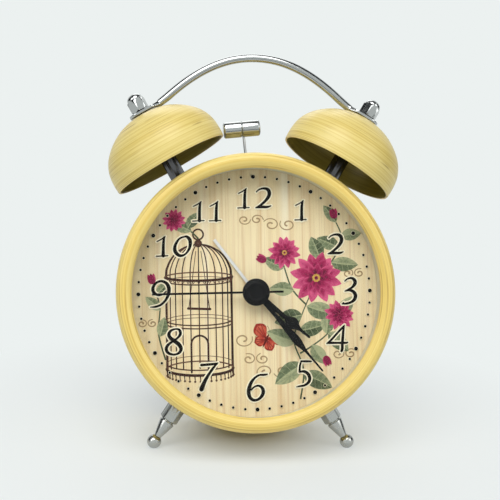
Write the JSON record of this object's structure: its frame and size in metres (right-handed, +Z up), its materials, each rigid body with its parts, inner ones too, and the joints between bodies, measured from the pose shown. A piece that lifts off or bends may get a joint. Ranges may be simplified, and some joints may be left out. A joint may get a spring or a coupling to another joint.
{
  "type": "twin bell alarm clock",
  "caption": "Round desk alarm clock with a bell on each side of an arched handle, a hammer between them, ball feet, a battery movement, rear setting knobs and a hinged battery door.",
  "frame": {"origin": "middle of the bounding box on the surface the clock stands on", "axes": "+X to the clock's left-hand side as it faces out, which is the viewer's right; -Y toward the viewer, the dial leaning back from it; +Z up"},
  "size_m": [0.0918, 0.0642, 0.1206],
  "materials": {
    "bamboo_print_enamel": "semi-gloss golden bamboo-grain print on steel",
    "cream_plastic": "moulded cream plastic",
    "clear_acrylic": "clear acrylic",
    "printed_card": "printed bamboo-grain sheet",
    "chrome_plate": "bright chrome plate on steel",
    "zinc_plated_steel": "zinc-plated steel",
    "brass": "stamped brass",
    "enamelled_copper_wire": "enamelled copper winding",
    "white_paint": "white paint",
    "black_paint": "black paint",
    "grey_plastic": "moulded grey plastic",
    "black_plastic": "fine-textured black plastic",
    "red_plastic": "moulded red plastic",
    "circuit_board": "green solder mask",
    "battery_label": "plain printed sleeve over a cell"
  },
  "bodies": {
    "case": {"case_drum": "bamboo_print_enamel", "front_bezel": "bamboo_print_enamel", "lens": "clear_acrylic", "reflector_ring": "cream_plastic", "dial": "printed_card", "movement_front": "grey_plastic", "movement_lid": "grey_plastic", "middle_plate": "brass", "stator": "zinc_plated_steel", "coil": "enamelled_copper_wire", "circuit_board": "circuit_board", "back_cover": "black_plastic", "cover_screw_1": "zinc_plated_steel", "cover_screw_2": "zinc_plated_steel", "cover_screw_3": "zinc_plated_steel", "battery": "battery_label", "contact_negative": "zinc_plated_steel", "contact_positive": "zinc_plated_steel", "hammer_frame": "zinc_plated_steel", "hammer_pivot_pin": "zinc_plated_steel", "alarm_motor": "zinc_plated_steel", "bell_left": "bamboo_print_enamel", "bell_right": "bamboo_print_enamel", "bell_post_left": "chrome_plate", "bell_post_right": "chrome_plate", "bell_screw_left": "zinc_plated_steel", "bell_screw_right": "zinc_plated_steel", "acorn_nut_left": "chrome_plate", "acorn_nut_right": "chrome_plate", "handle": "chrome_plate", "leg_left": "chrome_plate", "leg_right": "chrome_plate", "leg_nut_left": "zinc_plated_steel", "leg_nut_right": "zinc_plated_steel"},
    "second": {"second_hand": "black_paint", "second_wheel": "brass"},
    "third": {"third_wheel": "brass"},
    "centre": {"centre_wheel": "brass"},
    "step": {"step_wheel": "cream_plastic"},
    "rotor": {"rotor": "zinc_plated_steel"},
    "minute": {"minute_hand": "black_paint", "minute_pipe": "brass"},
    "motion": {"motion_wheel": "cream_plastic"},
    "hour": {"hour_hand": "black_paint", "hour_wheel": "cream_plastic"},
    "time_setting": {"time_knob": "black_plastic", "time_arbor": "zinc_plated_steel"},
    "alarm_pointer": {"alarm_hand": "white_paint", "alarm_wheel": "cream_plastic"},
    "alarm_setting": {"alarm_knob": "black_plastic", "alarm_arbor": "zinc_plated_steel"},
    "crank": {"crank_gear": "cream_plastic"},
    "motor": {"motor_pinion": "brass"},
    "hammer": {"hammer_arm": "zinc_plated_steel", "hammer_head": "chrome_plate"},
    "switch": {"alarm_switch": "red_plastic"},
    "door": {"battery_door": "black_plastic"}
  },
  "joints": [
    {"name": "second_spin", "type": "hinge", "parent": "case", "child": "second", "pos_m": [0, -0.01566, 0.04986], "axis": [0, 0.9626, -0.2709], "continuous": true},
    {"name": "third_spin", "type": "hinge", "parent": "case", "child": "third", "pos_m": [0.006, -0.00616, 0.03639], "axis": [0, 0.9626, -0.2709], "continuous": true},
    {"name": "centre_spin", "type": "hinge", "parent": "case", "child": "centre", "pos_m": [0, -0.01566, 0.04986], "axis": [0, 0.9626, -0.2709], "continuous": true},
    {"name": "step_spin", "type": "hinge", "parent": "case", "child": "step", "pos_m": [-0.00831, -0.00104, 0.04076], "axis": [0, 0.9626, -0.2709], "continuous": true},
    {"name": "rotor_spin", "type": "hinge", "parent": "case", "child": "rotor", "pos_m": [-0.00977, -0.00328, 0.0328], "axis": [0, 0.9626, -0.2709], "continuous": true},
    {"name": "minute_spin", "type": "hinge", "parent": "case", "child": "minute", "pos_m": [0, -0.01566, 0.04986], "axis": [0, 0.9626, -0.2709], "continuous": true},
    {"name": "motion_spin", "type": "hinge", "parent": "case", "child": "motion", "pos_m": [-0.008, -0.00661, 0.04731], "axis": [0, 0.9626, -0.2709], "continuous": true},
    {"name": "hour_spin", "type": "hinge", "parent": "case", "child": "hour", "pos_m": [0, -0.01566, 0.04986], "axis": [0, 0.9626, -0.2709], "continuous": true},
    {"name": "time_knob_spin", "type": "hinge", "parent": "case", "child": "time_setting", "pos_m": [-0.01552, 0.02108, 0.04236], "axis": [0, 0.9626, -0.2709], "continuous": true},
    {"name": "alarm_hand_spin", "type": "hinge", "parent": "case", "child": "alarm_pointer", "pos_m": [0, -0.01566, 0.04986], "axis": [0, 0.9626, -0.2709], "continuous": true},
    {"name": "alarm_knob_spin", "type": "hinge", "parent": "case", "child": "alarm_setting", "pos_m": [0.0128, 0.02034, 0.03973], "axis": [0, 0.9626, -0.2709], "continuous": true},
    {"name": "crank_spin", "type": "hinge", "parent": "case", "child": "crank", "pos_m": [0, 0.00181, 0.07243], "axis": [0, 0.9626, -0.2709], "continuous": true},
    {"name": "motor_spin", "type": "hinge", "parent": "case", "child": "motor", "pos_m": [0, 0.00332, 0.07782], "axis": [0, 0.9626, -0.2709], "continuous": true},
    {"name": "hammer_swing", "type": "hinge", "parent": "case", "child": "hammer", "pos_m": [0, -0.00149, 0.06588], "axis": [0, 0.9626, -0.2709], "range_deg": [0, 13]},
    {"name": "switch_slide", "type": "slide", "parent": "case", "child": "switch", "axis": [1, 0, 0], "range_m": [0, 0.004]},
    {"name": "door_swing", "type": "hinge", "parent": "case", "child": "door", "pos_m": [0, 0.01298, 0.01526], "axis": [-1, 0, 0], "range_deg": [0, 95]}
  ],
  "couplings": [
    {"joint": "third_spin", "follows": "second_spin", "ratio": -0.13333},
    {"joint": "centre_spin", "follows": "second_spin", "ratio": 0.016667},
    {"joint": "step_spin", "follows": "second_spin", "ratio": -6},
    {"joint": "rotor_spin", "follows": "second_spin", "ratio": 30},
    {"joint": "motion_spin", "follows": "minute_spin", "ratio": -0.33333},
    {"joint": "hour_spin", "follows": "minute_spin", "ratio": 0.083333},
    {"joint": "time_knob_spin", "follows": "minute_spin", "ratio": 1},
    {"joint": "alarm_knob_spin", "follows": "alarm_hand_spin", "ratio": -1},
    {"joint": "motor_spin", "follows": "crank_spin", "ratio": -3}
  ]
}
